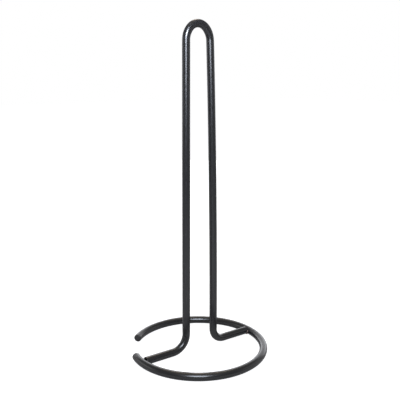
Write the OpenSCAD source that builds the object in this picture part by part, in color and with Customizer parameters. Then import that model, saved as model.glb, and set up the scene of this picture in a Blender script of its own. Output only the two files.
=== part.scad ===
// Freestanding paper towel holder: an open base ring and a hairpin post,
// both bent from the same round steel tube and welded together at two feet.
// Millimetres, +Z up. The origin is on the counter under the ring's centre.
// The post stands in the XZ plane: its feet run along X to the ring.

/* [Tube] */
// Outside diameter, over the paint, of the tube both bent pieces are made from
tube_d = 8.3; // [6:0.1:12]
// Wall thickness of the tube
tube_wall = 1.3; // [0.8:0.1:2]
// Diameter lost in a bend, times the bend's radius: tight bends draw thinner
bend_draw = 2; // [1.5:0.1:4]

/* [Base ring] */
// Outside diameter of the base ring
ring_outer_d = 150; // [120:1:200]
// Direction of the ring's back tube end, counter-clockwise from +X
gap_from = 129.4; // [95:0.1:150]
// Direction of the ring's front tube end, counter-clockwise from +X
gap_to = 167.4; // [130:0.1:170]

/* [Hairpin post] */
// Height of the holder from the counter to the top of the hairpin
overall_h = 348; // [320:1:380]
// Centreline radius of the bend at the very top
crown_r = 13; // [11:0.1:16]
// Half of the angle that the crown bend turns through
crown_half = 45; // [30:1:60]
// Centreline radius of the easier bends each side of the crown
shoulder_r = 18.3; // [16:0.1:24]
// Inward lean of the straight left leg, in degrees
left_lean = 0.28; // [0.1:0.01:1]
// Radius of the right leg's slight bow, upright at its foot
bow_r = 8800; // [6000:100:20000]
// Centreline radius of the left foot's bend
left_foot_r = 17; // [12:0.5:24]
// Centreline radius of the right foot's bend
right_foot_r = 13.5; // [10:0.5:24]
// Height of the feet above the ring's own centreline
foot_lift = 0.7; // [0:0.1:1.5]
// Space left between a foot's cut end and the ring, closed by the weld
foot_gap = 0.15; // [0.13:0.01:0.5]

/* [Welds] */
// Radius of the weld bead
bead_r = 1.4; // [0.8:0.1:1.5]
// Angle the bead covers around the underside of a foot
bead_angle = 220; // [90:5:300]
// Depth of the bead's middle line inside the foot's own surface
bead_set = 0.9; // [0.7:0.1:1.5]

/* [End plugs] */
// Thickness of a plug's head at its rim
plug_rim_t = 0.7; // [0.4:0.1:1.5]
// Height of the dome on a plug's head
plug_dome_h = 0.6; // [0.3:0.1:1]
// Diameter of the plug's stem
plug_stem_d = 5.4; // [4:0.1:6]
// Length of the plug's stem inside the tube
plug_stem_l = 4.5; // [3:0.1:5]

/* [Hidden] */

tube_r = tube_d / 2;
bore_d = tube_d - 2 * tube_wall;
ring_r = ring_outer_d / 2 - tube_r;
ring_z = tube_r;
ring_sweep = 360 - (gap_to - gap_from);

foot_z = ring_z + foot_lift;
foot_end = ring_r - tube_r - foot_gap;

// The arch has three centres: a crown arc between two shoulder arcs.
arch_step = shoulder_r - crown_r;
arch_rise = crown_r + arch_step * cos(crown_half);
spring_z = overall_h - tube_r - arch_rise;
crown_z = overall_h - tube_r - crown_r;
shoulder_x = arch_step * sin(crown_half);

// The left leg is straight: it ends where the foot's bend takes over.
left_top_x = shoulder_x - shoulder_r * cos(left_lean);
left_top_z = spring_z + shoulder_r * sin(left_lean);
left_low_z = foot_z + left_foot_r * (1 - sin(left_lean));
left_leg_l = (left_top_z - left_low_z) / cos(left_lean);
left_low_x = left_top_x - left_leg_l * sin(left_lean);
left_foot_l = foot_end + left_low_x - left_foot_r * cos(left_lean);

// The right leg is one long arc, upright at its foot.
right_low_z = foot_z + right_foot_r;
right_bow = asin((spring_z - right_low_z) / (bow_r - shoulder_r));
right_top_x = -shoulder_x + shoulder_r * cos(right_bow);
right_low_x = right_top_x + bow_r * (1 - cos(right_bow));
right_foot_l = foot_end - right_low_x - right_foot_r;

// The dome is a slice of a ball that meets the rim of the plug's head.
dome_r = (tube_r * tube_r + plug_dome_h * plug_dome_h) / (2 * plug_dome_h);

// Runs and bends of one tube reach this far into the next, so they fuse.
lap = 0.02;

// A weld is cut to fit the ring over this many degrees each way from its foot.
weld_reach = 10;

facets = 96;
bow_facets = 3600;

// The tube's cross-section, thinner by loss where it is bent.
module tube_section(loss = 0) {
  difference() {
    circle(d = tube_d - loss, $fn = facets);
    circle(d = bore_d - loss, $fn = facets);
  }
}

// One straight run along +Z, with whatever follows set on its far end.
module then_run(l) {
  linear_extrude(height = l + ($children > 0 ? lap : 0))
    tube_section();
  translate([0, 0, l])
    children();
}

// One bend from +Z towards +X, with whatever follows set on its far end.
module then_bend(r, sweep, fn = facets) {
  translate([r, 0, 0])
    rotate([90, 0, 180])
      rotate_extrude(angle = sweep + lap / r * 180 / PI, $fn = fn)
        translate([r, 0])
          tube_section(bend_draw / r);
  translate([r, 0, 0])
    rotate([0, sweep, 0])
      translate([-r, 0, 0])
        children();
}

// Whatever follows bends the other way.
module turn_over() {
  rotate([0, 0, 180])
    children();
}

// A foot's solid outline, long enough to cut a weld bead to fit it.
module foot_cutter(side) {
  translate([side * foot_end, 0, foot_z])
    rotate([0, -side * 90, 0])
      cylinder(d = tube_d, h = 3 * bead_r, $fn = facets);
}

// The stretch of the ring's outline beside one foot.
module ring_cutter(side) {
  translate([0, 0, ring_z])
    rotate([0, 0, side > 0 ? -weld_reach : 180 - weld_reach])
      rotate_extrude(angle = 2 * weld_reach, $fn = facets * 2)
        translate([ring_r, 0])
          circle(d = tube_d, $fn = facets);
}

// Weld bead: a bowed fillet in the notch under a foot's end.
module weld(side) {
  color("#2b2826")
    difference() {
      translate([side * (ring_r - tube_r), 0, foot_z])
        rotate([0, 90, 0])
          rotate([0, 0, -bead_angle / 2])
            rotate_extrude(angle = bead_angle, $fn = facets)
              translate([tube_r - bead_set, 0])
                circle(r = bead_r, $fn = facets / 2);
      foot_cutter(side);
      ring_cutter(side);
    }
}

// Plug: a low domed head over the tube's end and a stem inside the bore.
module plug() {
  union() {
    intersection() {
      cylinder(d = tube_d, h = plug_rim_t + plug_dome_h, $fn = facets);
      translate([0, 0, plug_rim_t + plug_dome_h - dome_r])
        sphere(r = dome_r, $fn = facets * 2);
    }
    translate([0, 0, -plug_stem_l])
      cylinder(d = plug_stem_d, h = plug_stem_l + plug_rim_t, $fn = facets);
  }
}

// A plug set on the ring's tube end at angle a, facing turn = +1 or -1.
module placed_plug(a, turn) {
  color("#1f2022")
    rotate([0, 0, a])
      translate([ring_r, 0, ring_z])
        rotate([-90 * turn, 0, 0])
          plug();
}

// Base ring: one open bend lying flat on the counter.
module base_ring() {
  color("#26272a")
    translate([0, 0, ring_z])
      rotate([0, 0, gap_to])
        rotate_extrude(angle = ring_sweep, $fn = facets * 2)
          translate([ring_r, 0])
            tube_section();
}

// Hairpin post: foot, leg, arch, leg and foot bent from one tube.
module hairpin_post() {
  color("#26272a")
    translate([-foot_end, 0, foot_z])
      rotate([0, 90, 0])
        turn_over()
          then_run(left_foot_l)
            then_bend(left_foot_r, 90 - left_lean)
              then_run(left_leg_l)
                turn_over()
                  arch();
}

// The arch and everything after it, starting at the top of the left leg.
module arch() {
  then_bend(shoulder_r, 90 - crown_half - left_lean)
    then_bend(crown_r, 2 * crown_half)
      then_bend(shoulder_r, 90 - crown_half - right_bow)
        then_bend(bow_r, right_bow, bow_facets)
          turn_over()
            then_bend(right_foot_r, 90)
              then_run(right_foot_l);
}

base_ring();
hairpin_post();
weld(-1);  // left_weld
weld(1);  // right_weld
placed_plug(gap_from, 1);  // back_end_plug
placed_plug(gap_to, -1);  // front_end_plug
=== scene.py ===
"""Paper towel holder in black painted steel: a bent hairpin post welded inside an open base ring."""
import math

import bpy
import numpy as np
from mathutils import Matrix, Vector


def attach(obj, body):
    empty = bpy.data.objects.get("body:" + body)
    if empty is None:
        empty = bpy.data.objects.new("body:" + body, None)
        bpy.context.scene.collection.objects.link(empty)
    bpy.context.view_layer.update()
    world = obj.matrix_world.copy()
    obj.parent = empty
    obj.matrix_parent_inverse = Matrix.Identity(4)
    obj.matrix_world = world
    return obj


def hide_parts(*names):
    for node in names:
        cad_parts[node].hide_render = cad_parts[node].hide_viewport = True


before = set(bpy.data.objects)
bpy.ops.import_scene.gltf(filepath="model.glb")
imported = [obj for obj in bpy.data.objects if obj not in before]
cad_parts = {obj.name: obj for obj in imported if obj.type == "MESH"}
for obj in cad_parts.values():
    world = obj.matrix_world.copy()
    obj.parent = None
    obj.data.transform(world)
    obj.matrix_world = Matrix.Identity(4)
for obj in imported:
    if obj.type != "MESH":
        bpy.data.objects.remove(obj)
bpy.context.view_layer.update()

# ---------------------------------------------------------------- sizes in metres, angles in degrees
MM = 0.001

# The tube that the ring and the post are bent from
TUBE_R = 4.15 * MM
BORE_R = 2.85 * MM
LIP = 0.2 * MM  # rounding of a cut end's two edges
BEND_DRAW = 1.0 * MM * MM  # radius that a bend loses, times the bend's own radius

# The base ring, open between two directions counter-clockwise from +X
RING_R = 75.0 * MM - TUBE_R
GAP_FROM = 129.4
GAP_TO = 167.4

# The hairpin post
POST_TOP = 348.0 * MM
CROWN_R = 13.0 * MM
CROWN_HALF = 45.0
SHOULDER_R = 18.3 * MM
LEFT_LEAN = 0.28
BOW_R = 8800.0 * MM
LEFT_FOOT_R = 17.0 * MM
RIGHT_FOOT_R = 13.5 * MM
FOOT_Z = TUBE_R + 0.7 * MM
FOOT_END = RING_R - TUBE_R - 0.15 * MM

# The welds
WELD_X = RING_R - TUBE_R
WELD_REACH = 110.0  # how far a bead climbs each side from under its foot
WELD_RING_R = TUBE_R - 0.9 * MM
WELD_BULGE = 0.8 * MM
WELD_WANDER = 0.12 * MM
BEAD_R = 1.4 * MM
BEAD_UNDER = 0.95  # share of its radius that a bead has under its foot
BEAD_FULLER = 0.2  # share of its radius that it gains at the sides
RIPPLE_PITCH = 13.5  # phase of the ripples per radian round the foot
RIPPLE_CURVE = 1.1  # how far a ripple lags round the bead, in radians
RIPPLE_STEEP = 0.45
RIPPLE_DEPTH = 0.045
SLUMP_DEPTH = 0.02

# The end plugs
PLUG_RIM = 0.7 * MM
PLUG_DOME = 0.6 * MM
PLUG_EDGE = 0.55 * MM  # rounding of the head's rim
PLUG_SEAT = 0.15 * MM  # rounding under the head
PLUG_SNUG = 0.9  # share of the rim's rounding that lowers its edge
PLUG_STEM = 4.5 * MM
PLUG_NECK = 0.05 * MM  # gap between the stem's last ring and the head
PLUG_STEM_R = 2.7 * MM
PLUG_TIP = 0.5 * MM  # length and depth of the stem's taper
RIBS_AT = (1.4 * MM, 3.0 * MM)
RIB_WIDTH = 0.18 * MM
RIB_HEIGHT = 0.12 * MM
GATE_R = 0.45 * MM
GATE_DEPTH = 0.12 * MM
GATE_MIDDLE = 0.04 * MM  # radius of the head's last ring

# How finely the pieces are drawn
SIDES = 72
BEAD_SIDES = 32
BEAD_ROWS = 160
LIP_ROWS = 4
STEM_ROWS = 60
RIM_ROWS = 9
DOME_ROWS = 40
RUN_STEP = 2.5 * MM
BEND_STEP = 0.5 * MM
SHORT_BEND = 100.0 * MM  # a bend shorter than this along its centreline gets the finer steps
BEND_EASE = 1.0 * MM  # the wall draws in over this length each side of a joint


def post_runs():
    """The post's tube from its left end to its right, as (length, 0) for a straight run and
    (radius, turn in degrees) for an arc.

    The crown's arc meets each shoulder's arc where both stand at CROWN_HALF, so their centres are
    SHOULDER_R - CROWN_R apart. The left leg is a straight line that leans in from its foot's bend.
    The right leg is an arc that stands upright at its foot and meets the right shoulder.
    """
    lean = math.radians(LEFT_LEAN)
    half = math.radians(CROWN_HALF)
    step = SHOULDER_R - CROWN_R
    spring_z = POST_TOP - TUBE_R - CROWN_R - step * math.cos(half)
    top_x = step * math.sin(half)
    rise = spring_z + SHOULDER_R * math.sin(lean) - FOOT_Z - LEFT_FOOT_R * (1 - math.sin(lean))
    left_leg = rise / math.cos(lean)
    left_x = top_x - SHOULDER_R * math.cos(lean) - left_leg * math.sin(lean)
    left_foot = FOOT_END + left_x - LEFT_FOOT_R * math.cos(lean)
    bow = math.asin((spring_z - FOOT_Z - RIGHT_FOOT_R) / (BOW_R - SHOULDER_R))
    right_x = SHOULDER_R * math.cos(bow) - top_x + BOW_R * (1 - math.cos(bow))
    right_foot = FOOT_END - right_x - RIGHT_FOOT_R
    bow = math.degrees(bow)
    return [
        (left_foot, 0.0),
        (LEFT_FOOT_R, 90.0 - LEFT_LEAN),
        (left_leg, 0.0),
        (SHOULDER_R, LEFT_LEAN - 90.0 + CROWN_HALF),
        (CROWN_R, -2.0 * CROWN_HALF),
        (SHOULDER_R, bow - 90.0 + CROWN_HALF),
        (BOW_R, -bow),
        (RIGHT_FOOT_R, 90.0),
        (right_foot, 0.0),
    ]


# ---------------------------------------------------------------- shared effects
TONE_SCALE = 45.0
TONE_DETAIL = 4.0
NIB_SCALE = 110.0
NIB_SIZE = 0.035

SOLE_PATCH_SCALE = 160.0
SOLE_PATCH_DETAIL = 3.0
SOLE_RAGGED = 0.9 * MM
SOLE_TOP = 0.9 * MM
SOLE_BARE = 0.3 * MM

HAIRLINE_SCALE = 2600.0
HAIRLINE_DETAIL = 1.0
HAIRLINE_STRETCH = (1.0, 1.0, 0.02)
HAIRLINE_FAINT = 0.62
HAIRLINE_FULL = 0.72
ROLL_LOW = 30.0 * MM
ROLL_FULL = 60.0 * MM


def new_group(name, inputs, outputs):
    """An empty shader node group. Its inputs and outputs are each given as {name: kind}."""
    group = bpy.data.node_groups.new(name, "ShaderNodeTree")
    for way, sockets in (("INPUT", inputs), ("OUTPUT", outputs)):
        for label, kind in sockets.items():
            group.interface.new_socket(label, in_out=way, socket_type="NodeSocket" + kind)
    enter = group.nodes.new("NodeGroupInput")
    leave = group.nodes.new("NodeGroupOutput")
    return group, enter, leave


def add_noise(tree, vector, scale, detail=2.0):
    """A noise texture on a vector socket, with a scale given as a number or as another socket."""
    noise = tree.nodes.new("ShaderNodeTexNoise")
    noise.inputs["Detail"].default_value = detail
    tree.links.new(vector, noise.inputs["Vector"])
    if isinstance(scale, float):
        noise.inputs["Scale"].default_value = scale
    else:
        tree.links.new(scale, noise.inputs["Scale"])
    return noise.outputs["Fac"]


def add_math(tree, operation, *values):
    """A math node whose values are numbers or sockets."""
    node = tree.nodes.new("ShaderNodeMath")
    node.operation = operation
    for socket, value in zip(node.inputs, values):
        if isinstance(value, float):
            socket.default_value = value
        else:
            tree.links.new(value, socket)
    return node.outputs["Value"]


def add_step(tree, value, low, high):
    """A smooth step from 0 at low to 1 at high. With low above high it falls instead of rising."""
    node = tree.nodes.new("ShaderNodeMapRange")
    node.interpolation_type = "SMOOTHSTEP"
    tree.links.new(value, node.inputs["Value"])
    node.inputs["From Min"].default_value = min(low, high)
    node.inputs["From Max"].default_value = max(low, high)
    node.inputs["To Min"].default_value = float(low > high)
    node.inputs["To Max"].default_value = float(low < high)
    return node.outputs["Result"]


def add_mix(tree, share, first, second):
    """A colour between the first and the second. Each is a colour or a socket."""
    node = tree.nodes.new("ShaderNodeMix")
    node.data_type = "RGBA"
    tree.links.new(share, node.inputs["Factor"])
    for label, value in (("A", first), ("B", second)):
        if isinstance(value, tuple):
            node.inputs[label].default_value = value
        else:
            tree.links.new(value, node.inputs[label])
    return node.outputs["Result"]


def skin_group():
    """A thin cured skin: orange peel and settled dust nibs as height in metres, and slow drifts in
    tone and gloss."""
    group, enter, leave = new_group(
        "skin",
        {
            "Vector": "Vector",
            "Deep Colour": "Color",
            "Pale Colour": "Color",
            "Roughness": "Float",
            "Roughness Drift": "Float",
            "Peel Scale": "Float",
            "Peel Depth": "Float",
            "Nib Height": "Float",
        },
        {"Colour": "Color", "Roughness": "Float", "Height": "Float"},
    )
    vector = enter.outputs["Vector"]
    drift = add_noise(group, vector, TONE_SCALE, TONE_DETAIL)
    colour = add_mix(group, drift, enter.outputs["Deep Colour"], enter.outputs["Pale Colour"])
    span = enter.outputs["Roughness Drift"]
    roughness = add_math(group, "MULTIPLY_ADD", drift, span, enter.outputs["Roughness"])
    peel = add_noise(group, vector, enter.outputs["Peel Scale"])
    peel = add_math(group, "MULTIPLY", peel, enter.outputs["Peel Depth"])
    cells = group.nodes.new("ShaderNodeTexVoronoi")
    cells.inputs["Scale"].default_value = NIB_SCALE
    group.links.new(vector, cells.inputs["Vector"])
    nib = add_step(group, cells.outputs["Distance"], NIB_SIZE, 0.0)
    height = add_math(group, "MULTIPLY_ADD", nib, enter.outputs["Nib Height"], peel)
    group.links.new(colour, leave.inputs["Colour"])
    group.links.new(roughness, leave.inputs["Roughness"])
    group.links.new(height, leave.inputs["Height"])
    return group


def rub_group():
    """Where the holder gets rubbed, as masks from 0 to 1: the line it stands and slides on, and
    fine upright hairlines where the roll's core passes over the post."""
    group, enter, leave = new_group(
        "rub", {"Vector": "Vector"}, {"Sole": "Float", "Hairline": "Float"}
    )
    vector = enter.outputs["Vector"]
    place = group.nodes.new("ShaderNodeSeparateXYZ")
    group.links.new(vector, place.inputs["Vector"])
    height = place.outputs["Z"]
    patches = add_noise(group, vector, SOLE_PATCH_SCALE, SOLE_PATCH_DETAIL)
    ragged = add_math(group, "MULTIPLY_ADD", patches, SOLE_RAGGED, height)
    sole = add_step(group, ragged, SOLE_TOP, SOLE_BARE)
    upright = group.nodes.new("ShaderNodeMapping")
    upright.inputs["Scale"].default_value = HAIRLINE_STRETCH
    group.links.new(vector, upright.inputs["Vector"])
    streaks = add_noise(group, upright.outputs["Vector"], HAIRLINE_SCALE, HAIRLINE_DETAIL)
    lines = add_step(group, streaks, HAIRLINE_FAINT, HAIRLINE_FULL)
    above_feet = add_step(group, height, ROLL_LOW, ROLL_FULL)
    hairline = add_math(group, "MULTIPLY", lines, above_feet)
    group.links.new(sole, leave.inputs["Sole"])
    group.links.new(hairline, leave.inputs["Hairline"])
    return group


SKIN = skin_group()
RUB = rub_group()


# ---------------------------------------------------------------- materials
COATING_IOR = 1.75

PAINT_SKIN = {
    "Deep Colour": (0.0042, 0.0044, 0.0055, 1.0),
    "Pale Colour": (0.006, 0.0063, 0.008, 1.0),
    "Roughness": 0.22,
    "Roughness Drift": 0.05,
    "Peel Scale": 620.0,
    "Peel Depth": 5e-6,
    "Nib Height": 1.2e-5,
}
RUBBED_GREY = (0.055, 0.055, 0.057, 1.0)
RUBBED_DULLER = 0.25
HAIRLINE_DULLER = 0.05

WELD_SKIN = {
    "Deep Colour": (0.012, 0.011, 0.011, 1.0),
    "Pale Colour": (0.020, 0.017, 0.016, 1.0),
    "Roughness": 0.3,
    "Roughness Drift": 0.2,
    "Peel Scale": 1400.0,
    "Peel Depth": 2e-5,
    "Nib Height": 3e-5,
}
HEAT_BROWN = (0.15, 0.085, 0.065, 1.0)
WORN_SCALE = 420.0
WORN_DETAIL = 3.0
WORN_FROM = 0.42
WORN_FULL = 0.6

PLUG_SKIN = {
    "Deep Colour": (0.008, 0.008, 0.009, 1.0),
    "Pale Colour": (0.013, 0.013, 0.014, 1.0),
    "Roughness": 0.24,
    "Roughness Drift": 0.10,
    "Peel Scale": 2600.0,
    "Peel Depth": 5e-6,
    "Nib Height": 0.0,
}


def coated(name, finish):
    """A material whose Principled shader takes colour, roughness and relief from the skin group.

    The finish gives a value for each of the group's sockets. Returns the material, its tree, its
    shader, the Object coordinates and the group's node.
    """
    material = bpy.data.materials.new(name)
    material.use_nodes = True
    tree = material.node_tree
    shader = tree.nodes["Principled BSDF"]
    shader.inputs["IOR"].default_value = COATING_IOR
    place = tree.nodes.new("ShaderNodeTexCoord")
    skin = tree.nodes.new("ShaderNodeGroup")
    skin.node_tree = SKIN
    for label, value in finish.items():
        skin.inputs[label].default_value = value
    tree.links.new(place.outputs["Object"], skin.inputs["Vector"])
    tree.links.new(skin.outputs["Colour"], shader.inputs["Base Color"])
    tree.links.new(skin.outputs["Roughness"], shader.inputs["Roughness"])
    bump = tree.nodes.new("ShaderNodeBump")
    bump.inputs["Distance"].default_value = 1.0
    tree.links.new(skin.outputs["Height"], bump.inputs["Height"])
    tree.links.new(bump.outputs["Normal"], shader.inputs["Normal"])
    return material, tree, shader, place.outputs["Object"], skin


def black_paint():
    """Semi-gloss black paint over the steel tube, rubbed dull grey along the line it stands on."""
    material, tree, shader, vector, skin = coated("semi_gloss_black_paint", PAINT_SKIN)
    rub = tree.nodes.new("ShaderNodeGroup")
    rub.node_tree = RUB
    tree.links.new(vector, rub.inputs["Vector"])
    sole = rub.outputs["Sole"]
    hairline = rub.outputs["Hairline"]
    colour = add_mix(tree, sole, skin.outputs["Colour"], RUBBED_GREY)
    tree.links.new(colour, shader.inputs["Base Color"])
    roughness = add_math(tree, "MULTIPLY_ADD", sole, RUBBED_DULLER, skin.outputs["Roughness"])
    roughness = add_math(tree, "MULTIPLY_ADD", hairline, HAIRLINE_DULLER, roughness)
    tree.links.new(roughness, shader.inputs["Roughness"])
    return material


def weld_scale():
    """Thin paint over a weld: black in the hollows, with brown heat tint where it wore through."""
    material, tree, shader, vector, skin = coated("weld_scale", WELD_SKIN)
    patches = add_noise(tree, vector, WORN_SCALE, WORN_DETAIL)
    worn = add_step(tree, patches, WORN_FROM, WORN_FULL)
    colour = add_mix(tree, worn, skin.outputs["Colour"], HEAT_BROWN)
    tree.links.new(colour, shader.inputs["Base Color"])
    return material


def moulded_plug():
    """Satin black plastic with a fine moulded grain."""
    return coated("moulded_plug", PLUG_SKIN)[0]


BLACK_PAINT = black_paint()
WELD_SCALE = weld_scale()
PLUG_PLASTIC = moulded_plug()


def dress(node, material):
    """Gives a CAD node its finish."""
    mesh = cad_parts[node].data
    mesh.materials.clear()
    mesh.materials.append(material)


dress("base_ring", BLACK_PAINT)


# ---------------------------------------------------------------- meshes
def ringed_mesh(name, points, material, joined):
    """A smooth closed mesh from a rows x columns x 3 array whose columns run round in a ring.

    Cell (i, j) is the quad between rows i, i + 1 and columns j, j + 1. Where joined, the last row
    runs on into the first; otherwise a fan closes the first and last rows onto their middles.
    """
    rows, columns = points.shape[:2]
    index = np.arange(rows * columns).reshape(rows, columns)
    side = np.roll(index, -1, axis=1)
    there = np.roll(index, -1, axis=0)
    far = np.roll(side, -1, axis=0)
    last = rows if joined else rows - 1
    faces = np.stack([index, there, far, side], axis=-1)[:last].reshape(-1, 4).tolist()
    verts = points.reshape(-1, 3)
    if not joined:
        verts = np.vstack([verts, points[0].mean(axis=0), points[-1].mean(axis=0)])
        head = np.full(columns, rows * columns)
        faces += np.stack([head, index[0], side[0]], axis=-1).tolist()
        faces += np.stack([head + 1, side[-1], index[-1]], axis=-1).tolist()
    mesh = bpy.data.meshes.new(name)
    mesh.from_pydata(verts.tolist(), [], faces)
    mesh.polygons.foreach_set("use_smooth", np.ones(len(mesh.polygons), dtype=bool))
    mesh.materials.append(material)
    mesh.update()
    piece = bpy.data.objects.new(name, mesh)
    bpy.context.scene.collection.objects.link(piece)
    return piece


def full_turn(count):
    """Angles evenly spaced round a circle, from 0."""
    return np.arange(count) * (2 * math.pi / count)


def bent_path(runs, x, z):
    """Centreline of a tube bent in the XZ plane, with its runs and arcs laid end to end from (x, z).

    Along an arc of signed radius r the heading h turns evenly from h0, and the point moves by
    r * (sin h - sin h0) and r * (cos h0 - cos h). Returns arc length, place, heading, and the
    distance that the wall draws in, which eases over BEND_EASE each side of a joint.
    """
    columns, knots, drawn = [], [], []
    heading, length = 0.0, 0.0
    for size, turn in runs:
        run = size * abs(math.radians(turn)) if turn else size
        step = BEND_STEP if turn and run < SHORT_BEND else RUN_STEP
        t = np.linspace(0.0, run, math.ceil(run / step) + 1)
        if turn:
            r = math.copysign(size, turn)
            h = heading + t / r
            px = x + r * (np.sin(h) - math.sin(heading))
            pz = z + r * (math.cos(heading) - np.cos(h))
        else:
            h = np.full_like(t, heading)
            px = x + t * math.cos(heading)
            pz = z + t * math.sin(heading)
        columns.append(np.stack([length + t, px, pz, h])[:, :-1])
        knots += [length + BEND_EASE, length + run - BEND_EASE]
        drawn += [BEND_DRAW / size if turn else 0.0] * 2
        x, z, heading, length = px[-1], pz[-1], h[-1], length + run
    columns.append(np.array([[length], [x], [z], [heading]]))
    s, px, pz, h = np.concatenate(columns, axis=1)
    return s, px, pz, h, np.interp(s, knots, drawn)


def bent_tube(name, runs, x, z, material):
    """A bent tube with its bore: rings carried along the centreline in a closed circuit.

    The circuit runs out over the wall, round one cut end, back through the bore and round the other
    end. Each lip is a quarter round.
    """
    s, px, pz, h, drawn = bent_path(runs, x, z)
    end = s[-1]
    q = np.linspace(0.0, math.pi / 2, LIP_ROWS)
    over = LIP * np.sin(q)
    under = LIP * np.cos(q)
    out = s[1:-1]
    back = out[::-2]
    along = np.concatenate([LIP - under, out, end - LIP + over, end - LIP + under, back, LIP - over])
    radius = np.concatenate([
        TUBE_R - LIP + over,
        np.full_like(out, TUBE_R),
        TUBE_R - LIP + under,
        BORE_R + LIP - over,
        np.full_like(back, BORE_R),
        BORE_R + LIP - under,
    ])
    r = (radius - np.interp(along, s, drawn))[:, None]
    cx, cz, ch = (np.interp(along, s, v)[:, None] for v in (px, pz, h))
    a = full_turn(SIDES)
    points = np.stack([
        cx - r * np.cos(a) * np.sin(ch),
        r * np.sin(a) + 0 * cx,
        cz + r * np.cos(a) * np.cos(ch),
    ], axis=-1)
    return ringed_mesh(name, points, material, joined=True)


def weld_bead(name, side, phase, material):
    """A rippled bead laid round the underside of a foot's end, where it meets the ring.

    A circle of radius r is carried round the foot's axis, over an angle f that runs from -WELD_REACH
    to WELD_REACH and is 0 straight down. r shrinks to a rounded end as (1 - (f / reach) ** 6) ** 0.5.
    Both r and the circle's distance from the axis grow with sin(f) ** 2, as there is room for the
    bead at the sides and none below. The ripples are a rounded sawtooth in f that lags with the
    circle's own angle t, and a slower slump makes them uneven.
    """
    reach = math.radians(WELD_REACH)
    across = np.linspace(-math.pi / 2, math.pi / 2, BEAD_ROWS + 2)[1:-1]
    f = reach * np.sin(across)[:, None]
    t = full_turn(BEAD_SIDES)
    taper = (1 - (f / reach) ** 6) ** 0.5
    lag = RIPPLE_PITCH * f + RIPPLE_CURVE * np.cos(t) + phase
    ripple = np.sin(lag + RIPPLE_STEEP * np.sin(lag))
    slump = np.sin(2.3 * f + phase) + 0.6 * np.sin(5.1 * f + 2 * phase)
    fuller = np.sin(f) ** 2
    wander = WELD_WANDER * np.sin(3.1 * f + phase)
    swell = BEAD_UNDER + RIPPLE_DEPTH * ripple + SLUMP_DEPTH * slump + BEAD_FULLER * fuller
    r = BEAD_R * taper * swell
    out = WELD_RING_R + WELD_BULGE * fuller + r * np.cos(t)
    x = side * WELD_X + wander + r * np.sin(t)
    points = np.stack([x, out * np.sin(f), FOOT_Z - out * np.cos(f)], axis=-1)
    return ringed_mesh(name, points, material, joined=False)


def end_plug(name, bearing, turn, material):
    """A push-in plug: a low domed head over the ring's cut end, and a stem with two sealing ribs.

    A profile of radius and height above the cut end is turned round the tube's axis. It climbs the
    stem, steps out under the head and over a rounded rim, and follows a slice of a ball to a small
    gate dimple in the middle. The bearing is the cut end's own, and turn is 1 or -1 for the way it
    faces round the ring.
    """
    climb = np.linspace(-PLUG_STEM, -PLUG_NECK, STEM_ROWS)
    ribs = sum(np.exp(-(((climb + at) / RIB_WIDTH) ** 2)) for at in RIBS_AT)
    tip = np.clip((climb + PLUG_STEM) / PLUG_TIP, 0.0, 1.0)
    stem = PLUG_STEM_R - PLUG_TIP * (1 - tip) ** 2 + RIB_HEIGHT * ribs

    q = np.linspace(0.0, math.pi / 2, RIM_ROWS)
    under = TUBE_R - PLUG_SEAT * (1 - np.sin(q[::2]))
    under_z = PLUG_SEAT * (1 - np.cos(q[::2]))

    ball = (TUBE_R**2 + PLUG_DOME**2) / (2 * PLUG_DOME)
    rim = TUBE_R - PLUG_EDGE * (1 - np.cos(q))
    dome = np.linspace(TUBE_R - PLUG_EDGE, GATE_MIDDLE, DOME_ROWS)[1:]
    over = np.concatenate([rim, dome])
    over_z = PLUG_RIM + PLUG_DOME - ball + np.sqrt(ball**2 - over**2)
    over_z[:RIM_ROWS] -= PLUG_EDGE * (1 - np.sin(q)) * PLUG_SNUG
    over_z -= GATE_DEPTH * np.exp(-((over / GATE_R) ** 4))

    r = np.concatenate([stem, under, over])[:, None]
    z = np.concatenate([climb, under_z, over_z])[:, None]
    a = full_turn(SIDES)
    b = math.radians(bearing)
    out = RING_R + r * np.cos(a)
    along = turn * z + 0 * a
    points = np.stack([
        out * math.cos(b) - along * math.sin(b),
        out * math.sin(b) + along * math.cos(b),
        TUBE_R + turn * r * np.sin(a),
    ], axis=-1)
    return ringed_mesh(name, points, material, joined=False)


def stand_in(piece, node):
    """The piece takes a CAD node's place and rides with the holder."""
    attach(piece, "root")
    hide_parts(node)


post_tube = bent_tube("post_tube", post_runs(), -FOOT_END, FOOT_Z, BLACK_PAINT)
stand_in(post_tube, "hairpin_post")
stand_in(weld_bead("left_bead", -1, 0.4, WELD_SCALE), "left_weld")
stand_in(weld_bead("right_bead", 1, 2.1, WELD_SCALE), "right_weld")
stand_in(end_plug("back_plug", GAP_FROM, 1, PLUG_PLASTIC), "back_end_plug")
stand_in(end_plug("front_plug", GAP_TO, -1, PLUG_PLASTIC), "front_end_plug")


# ---------------------------------------------------------------- stage
WHITE = (1.0, 1.0, 1.0, 1.0)
FLOOR_HALF = 6.0
COUNTER_COLOUR = (0.5, 0.5, 0.5, 1.0)
COUNTER_ROUGHNESS = 0.9
CAMERA_GLOW = 0.88  # what the counter adds for the camera, which brings it up to white
GLOSS_GLOW = 0.08  # what it adds in reflections
SURROUND = 0.26  # strength of the surround for light and gloss; for the camera it is 1


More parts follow.
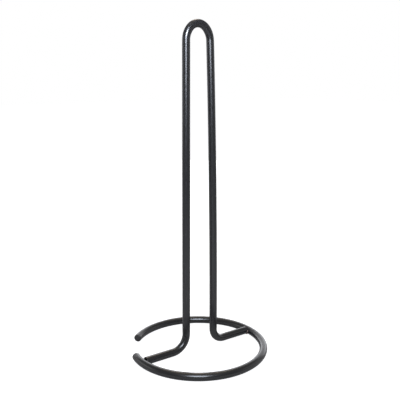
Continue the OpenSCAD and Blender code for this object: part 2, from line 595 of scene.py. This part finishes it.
def pale_counter():
    """Pale matte counter that glows up to white for the camera, and a little in reflections."""
    material = bpy.data.materials.new("pale_counter")
    material.use_nodes = True
    tree = material.node_tree
    shader = tree.nodes["Principled BSDF"]
    shader.inputs["Base Color"].default_value = COUNTER_COLOUR
    shader.inputs["Roughness"].default_value = COUNTER_ROUGHNESS
    shader.inputs["Specular IOR Level"].default_value = 0.0
    path = tree.nodes.new("ShaderNodeLightPath")
    shine = add_math(tree, "ADD", path.outputs["Is Glossy Ray"], path.outputs["Is Transmission Ray"])
    shine = add_math(tree, "MULTIPLY", shine, GLOSS_GLOW)
    strength = add_math(tree, "MULTIPLY_ADD", path.outputs["Is Camera Ray"], CAMERA_GLOW, shine)
    glow = tree.nodes.new("ShaderNodeEmission")
    glow.inputs["Color"].default_value = WHITE
    tree.links.new(strength, glow.inputs["Strength"])
    both = tree.nodes.new("ShaderNodeAddShader")
    tree.links.new(shader.outputs["BSDF"], both.inputs[0])
    tree.links.new(glow.outputs["Emission"], both.inputs[1])
    tree.links.new(both.outputs["Shader"], tree.nodes["Material Output"].inputs["Surface"])
    return material


def make_floor():
    """A flat square under the holder."""
    corners = np.array([(-1, -1, 0), (1, -1, 0), (1, 1, 0), (-1, 1, 0)], float) * FLOOR_HALF
    mesh = bpy.data.meshes.new("floor")
    mesh.from_pydata(corners.tolist(), [], [(0, 1, 2, 3)])
    mesh.materials.append(pale_counter())
    floor = bpy.data.objects.new("floor", mesh)
    bpy.context.scene.collection.objects.link(floor)


def make_world():
    """White to the camera, and an even pale surround for the light and the gloss."""
    world = bpy.data.worlds.new("surround")
    bpy.context.scene.world = world
    world.use_nodes = True
    nodes = world.node_tree.nodes
    links = world.node_tree.links
    back = nodes["Background"]
    back.inputs["Color"].default_value = WHITE
    path = nodes.new("ShaderNodeLightPath")
    strength = nodes.new("ShaderNodeMapRange")
    strength.inputs["To Min"].default_value = SURROUND
    strength.inputs["To Max"].default_value = 1.0
    links.new(path.outputs["Is Camera Ray"], strength.inputs["Value"])
    links.new(strength.outputs["Result"], back.inputs["Strength"])


make_floor()
make_world()


# ---------------------------------------------------------------- camera
CAMERA_HEADING = math.radians(35.336)
CAMERA_DISTANCE = 0.6071
CAMERA_HEIGHT = 0.2909
CAMERA_PITCH = math.radians(11.568)
CAMERA_YAW = math.radians(0.163)
CAMERA_LENS = 53.538
CAMERA_SENSOR = 36.0
CAMERA_NEAR = 0.01
CAMERA_FAR = 100.0


def make_camera():
    """A level camera standing off to the left front, looking slightly down."""
    data = bpy.data.cameras.new("camera")
    data.sensor_width = CAMERA_SENSOR
    data.lens = CAMERA_LENS
    data.clip_start = CAMERA_NEAR
    data.clip_end = CAMERA_FAR
    camera = bpy.data.objects.new("camera", data)
    bpy.context.scene.collection.objects.link(camera)
    bpy.context.scene.camera = camera
    away = Vector((-math.sin(CAMERA_HEADING), -math.cos(CAMERA_HEADING), 0.0))
    camera.location = away * CAMERA_DISTANCE + Vector((0.0, 0.0, CAMERA_HEIGHT))
    turn = CAMERA_HEADING + CAMERA_YAW
    level = math.cos(CAMERA_PITCH)
    look = Vector((math.sin(turn) * level, math.cos(turn) * level, -math.sin(CAMERA_PITCH)))
    camera.rotation_mode = "QUATERNION"
    camera.rotation_quaternion = look.to_track_quat("-Z", "Y")


make_camera()


# ---------------------------------------------------------------- lamps
PURE_WHITE = (1.0, 1.0, 1.0)
SKY_BLUE = (0.80, 0.87, 1.0)
COOL_BLUE = (0.82, 0.88, 1.0)
COOL_WHITE = (0.94, 0.95, 1.0)
HIGH_WHITE = (0.95, 0.96, 1.0)
WARM_WHITE = (1.0, 0.90, 0.72)
WARM_ROSE = (1.0, 0.84, 0.7)


def soft_lamp(name, heading, distance, height, aim, size, power, colour, spread=180.0):
    """A flat soft lamp, at a distance and height from the ring's centre, aimed at a height above it.

    Heading 0 is on the camera's side, and 90 to its right. The size is width by depth, and a spread
    below 180 is a grid on the lamp.
    """
    data = bpy.data.lights.new(name, "AREA")
    data.shape = "RECTANGLE"
    data.size, data.size_y = size
    data.energy = power
    data.color = colour
    data.spread = math.radians(spread)
    lamp = bpy.data.objects.new(name, data)
    bpy.context.scene.collection.objects.link(lamp)
    a = math.radians(heading) - CAMERA_HEADING
    lamp.location = (distance * math.sin(a), -distance * math.cos(a), height)
    lamp.rotation_mode = "QUATERNION"
    lamp.rotation_quaternion = (Vector((0.0, 0.0, aim)) - lamp.location).to_track_quat("-Z", "Y")


soft_lamp(
    "front_lamp", heading=0.0, distance=0.55, height=0.46, aim=0.20,
    size=(0.30, 0.36), power=2.9, colour=COOL_BLUE,
)
soft_lamp(
    "back_lamp", heading=180.0, distance=1.5, height=0.28, aim=0.1,
    size=(4.0, 0.56), power=13.6, colour=COOL_WHITE,
)
soft_lamp(
    "high_lamp", heading=180.0, distance=1.0, height=0.60, aim=0.1,
    size=(2.4, 0.4), power=2.9, colour=HIGH_WHITE,
)
soft_lamp(
    "over_lamp", heading=0.0, distance=0.05, height=1.6, aim=0.17,
    size=(1.5, 1.5), power=2.0, colour=WARM_WHITE,
)
soft_lamp(
    "left_lamp", heading=-95.0, distance=1.5, height=0.45, aim=0.17,
    size=(1.2, 0.7), power=1.6, colour=PURE_WHITE,
)
soft_lamp(
    "right_lamp", heading=95.0, distance=1.5, height=0.45, aim=0.17,
    size=(1.2, 0.7), power=0.8, colour=PURE_WHITE,
)
soft_lamp(
    "arch_lamp", heading=0.0, distance=0.55, height=0.62, aim=0.345,
    size=(0.24, 0.30), power=0.38, colour=SKY_BLUE, spread=30.0,
)
soft_lamp(
    "crown_lamp", heading=180.0, distance=0.6, height=1.0, aim=0.345,
    size=(0.6, 0.5), power=0.14, colour=WARM_ROSE, spread=30.0,
)

# ---------------------------------------------------------------- look
scene = bpy.context.scene
scene.view_settings.view_transform = "Standard"
